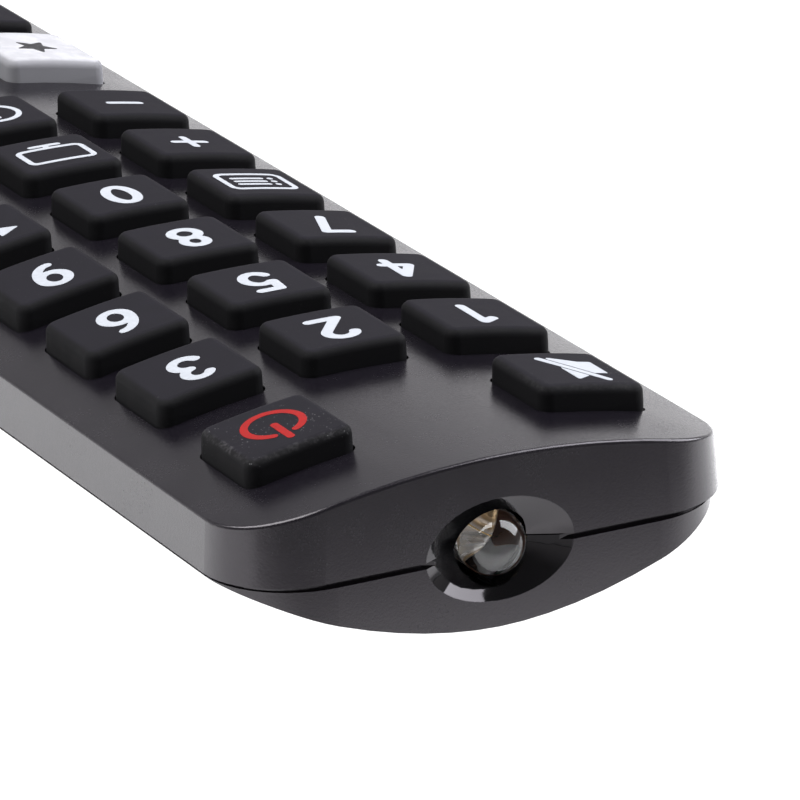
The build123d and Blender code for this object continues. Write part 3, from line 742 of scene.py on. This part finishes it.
pieces = []
bars_ = [
    ("led_cathode", CUP, [(1.27, 72.6, LED_Z, 1), (1.27, 79.6, LED_Z, 1), (1.27, 80.4, LED_Z, 1.35), (0.70, 81.2, LED_Z, 2.9), (0.50, 81.7, LED_Z, 3.4), (0.15, 82.10, LED_Z, 3.9), (0.05, 82.30, LED_Z, 3.9)]),
    ("led_anode", POST_PAINTED_DARK, [(-1.27, 72.6, LED_Z, 1), (-1.27, 79.6, LED_Z, 1), (-1.38, 80.6, LED_Z, 1.2), (-1.46, 81.6, LED_Z - 0.08, 1.1), (-1.43, 82.3, LED_Z - 0.42, 0.92), (-1.33, 82.92, LED_Z - 0.80, 0.72)]),
]
for name, mat, pts in bars_:
    verts, faces = rounded_bar(pts, 0.25, 0.25)
    pieces.append(make_object(name, verts, faces, mat, sharp=35))
verts, faces = revolve_y(cup_profile(), 0.0, LED_Z, 48)
cup = make_object("led_cup", verts, faces, CUP, sharp=50)
base_profile = [(0.0, 79.92), (2.05, 79.92), (2.22, 79.86), (2.28, 79.74), (2.28, 79.50), (2.20, 79.44), (0.0, 79.44)]
verts, faces = revolve_y(base_profile, 0.0, LED_Z, 64)
base = make_object("led_base", verts, faces, BASE, sharp=50)
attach(base, "root")
die_v = []
d = 0.18
for sy, y in ((1.0, 82.755), (0.92, 82.96)):
    for a in range(4):
        die_v.append(Vector((d * sy * (1, -1, -1, 1)[a], y, LED_Z + d * sy * (1, 1, -1, -1)[a])) * MM)
die = make_object("led_die", die_v, [[0, 1, 2, 3], [7, 6, 5, 4]] + [[i, i + 4, (i + 1) % 4 + 4, (i + 1) % 4] for i in range(4)], DIE, smooth=False)


def tube(points, r, n=10):
    pts = [Vector(p) for p in points]
    verts, faces = [], []
    up = Vector((0.2, 0.1, 1)).normalized()
    for k, p in enumerate(pts):
        t = (pts[min(k + 1, len(pts) - 1)] - pts[max(k - 1, 0)]).normalized()
        s = t.cross(up).normalized()
        u = s.cross(t)
        for i in range(n):
            a = 2 * math.pi * i / n
            verts.append((p + s * (r * math.cos(a)) + u * (r * math.sin(a))) * MM)
        if k:
            for i in range(n):
                j = (i + 1) % n
                faces.append([(k - 1) * n + i, (k - 1) * n + j, k * n + j, k * n + i])
    faces.append(list(reversed(range(n))))
    faces.append([len(verts) - n + i for i in range(n)])
    return verts, faces


wire_path = []
for i in range(19):
    t = i / 18
    wire_path.append((0.02 - 1.34 * t, 82.95 + 0.75 * math.sin(math.pi * t), LED_Z + 0.02 - 0.81 * t))
verts, faces = tube(wire_path, 0.022)
wire = make_object("led_bond_wire", verts, faces, GOLD)
for ob in [*pieces, cup, die, wire]:
    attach(ob, "root")
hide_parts("led_leads")


# ---------------------------------------------------------------- stage, lights and camera
def stage_floor():
    mesh = bpy.data.meshes.new("floor")
    s = 6.0
    mesh.from_pydata([(-s, -s, 0), (s, -s, 0), (s, s, 0), (-s, s, 0)], [], [[0, 1, 2, 3]])
    mat = bpy.data.materials.new("pale_floor")
    mat.use_nodes = True
    t = mat.node_tree
    bsdf = next(n for n in t.nodes if n.type == "BSDF_PRINCIPLED")
    bsdf.inputs["Base Color"].default_value = (0.86, 0.86, 0.87, 1)
    bsdf.inputs["Roughness"].default_value = 0.9
    bsdf.inputs["Specular IOR Level"].default_value = 0.0
    # painted shadow: the floor colour goes dark just in front of the remote, standing in for its shade there, so the
    # flat front face has something darker to mirror
    coord = t.nodes.new("ShaderNodeTexCoord")
    sep = t.nodes.new("ShaderNodeSeparateXYZ")
    t.links.new(coord.outputs["Object"], sep.inputs[0])
    front_shadow_grade = t.nodes.new("ShaderNodeMapRange")
    front_shadow_grade.interpolation_type = "SMOOTHSTEP"
    t.links.new(sep.outputs[1], front_shadow_grade.inputs["Value"])
    for k, v in (("From Min", 0.096), ("From Max", 0.128), ("To Min", 0.86), ("To Max", 0.205)):
        front_shadow_grade.inputs[k].default_value = v
    tone = t.nodes.new("ShaderNodeCombineColor")
    for i in range(3):
        t.links.new(front_shadow_grade.outputs["Result"], tone.inputs[i])
    t.links.new(tone.outputs[0], bsdf.inputs["Base Color"])
    out = next(n for n in t.nodes if n.type == "OUTPUT_MATERIAL")
    white = t.nodes.new("ShaderNodeEmission")
    white.inputs["Strength"].default_value = 1.25
    ray = t.nodes.new("ShaderNodeLightPath")
    a = t.nodes.new("ShaderNodeMixShader")
    t.links.new(ray.outputs["Is Camera Ray"], a.inputs[0])
    t.links.new(bsdf.outputs[0], a.inputs[1])
    t.links.new(white.outputs[0], a.inputs[2])
    clear = t.nodes.new("ShaderNodeBsdfTransparent")
    geo = t.nodes.new("ShaderNodeNewGeometry")
    b = t.nodes.new("ShaderNodeMixShader")
    t.links.new(geo.outputs["Backfacing"], b.inputs[0])
    t.links.new(a.outputs[0], b.inputs[1])
    t.links.new(clear.outputs[0], b.inputs[2])
    t.links.new(b.outputs[0], out.inputs["Surface"])
    mesh.materials.append(mat)
    ob = bpy.data.objects.new("floor", mesh)
    bpy.context.scene.collection.objects.link(ob)
    ob.location = (0, 0, -0.00002)


def softbox(name, at, to, width, height, radiance, color=(1, 1, 1)):
    light = bpy.data.lights.new(name, "AREA")
    light.shape = "RECTANGLE"
    light.size, light.size_y = width, height
    light.energy = radiance * math.pi * width * height
    light.color = color
    ob = bpy.data.objects.new(name, light)
    ob.location = at
    ob.rotation_euler = (Vector(to) - Vector(at)).to_track_quat("-Z", "Y").to_euler()
    ob.visible_camera = False
    bpy.context.scene.collection.objects.link(ob)


def studio_world():
    world = bpy.data.worlds.new("studio")
    bpy.context.scene.world = world
    world.use_nodes = True
    t = world.node_tree
    t.nodes.clear()
    out = t.nodes.new("ShaderNodeOutputWorld")
    coord = t.nodes.new("ShaderNodeTexCoord")
    sep = t.nodes.new("ShaderNodeSeparateXYZ")
    t.links.new(coord.outputs["Generated"], sep.inputs[0])
    ramp = t.nodes.new("ShaderNodeValToRGB")
    t.links.new(sep.outputs[2], ramp.inputs[0])
    e = ramp.color_ramp.elements
    e[0].position, e[0].color = 0.0, (1.12, 1.11, 1.12, 1)
    e[1].position, e[1].color = 1.0, (0.20, 0.20, 0.21, 1)
    for at, level in ((0.17, 0.98), (0.33, 0.62), (0.50, 0.30)):
        mid = e.new(at)
        mid.color = (level, level * 0.985, level * 1.01, 1)
    soft = t.nodes.new("ShaderNodeBackground")
    soft.inputs["Strength"].default_value = 1.25
    # pale low down behind the remote, dim to the sides and in front of it
    side = t.nodes.new("ShaderNodeMapRange")
    side.interpolation_type = "SMOOTHSTEP"
    t.links.new(sep.outputs[1], side.inputs["Value"])
    for k, v in (("From Min", -0.72), ("From Max", -0.15), ("To Min", 1.0), ("To Max", 0.30)):
        side.inputs[k].default_value = v
    shade = t.nodes.new("ShaderNodeVectorMath")
    shade.operation = "SCALE"
    t.links.new(ramp.outputs[0], shade.inputs[0])
    t.links.new(side.outputs["Result"], shade.inputs["Scale"])
    t.links.new(shade.outputs[0], soft.inputs[0])
    white = t.nodes.new("ShaderNodeBackground")
    white.inputs["Strength"].default_value = 1.25
    ray = t.nodes.new("ShaderNodeLightPath")
    mix = t.nodes.new("ShaderNodeMixShader")
    t.links.new(ray.outputs["Is Camera Ray"], mix.inputs[0])
    t.links.new(soft.outputs[0], mix.inputs[1])
    t.links.new(white.outputs[0], mix.inputs[2])
    t.links.new(mix.outputs[0], out.inputs[0])


stage_floor()
studio_world()
softbox("overhead", (0.30, -0.06, 0.72), (0.02, 0.02, 0), 0.70, 0.70, 8.5)
softbox("window", (-0.612, 0.152, 0.534), (0, 0.087, 0.013), 0.72, 0.80, 7.2, (0.95, 0.955, 1.0))

YAW, PITCH, ROLL = math.radians(25.986), math.radians(19.410), math.radians(-1.878)
d = Vector((math.sin(YAW) * math.cos(PITCH), math.cos(YAW) * math.cos(PITCH), math.sin(PITCH)))
fwd = -d
right = fwd.cross(Vector((0, 0, 1))).normalized()
up = right.cross(fwd)
r = math.cos(ROLL) * right + math.sin(ROLL) * up
u = -math.sin(ROLL) * right + math.cos(ROLL) * up
cam_data = bpy.data.cameras.new("camera")
cam_data.lens = 316.4175
cam_data.sensor_width = 36.0
cam_data.clip_start, cam_data.clip_end = 0.01, 30.0
camera = bpy.data.objects.new("camera", cam_data)
bpy.context.scene.collection.objects.link(camera)
camera.matrix_world = Matrix.Translation((0.213962, 0.509773, 0.191628)) @ Matrix((r, u, -fwd)).transposed().to_4x4()
bpy.context.scene.camera = camera
bpy.context.scene.view_settings.view_transform = "Standard"
bpy.context.scene.view_settings.look = "None"
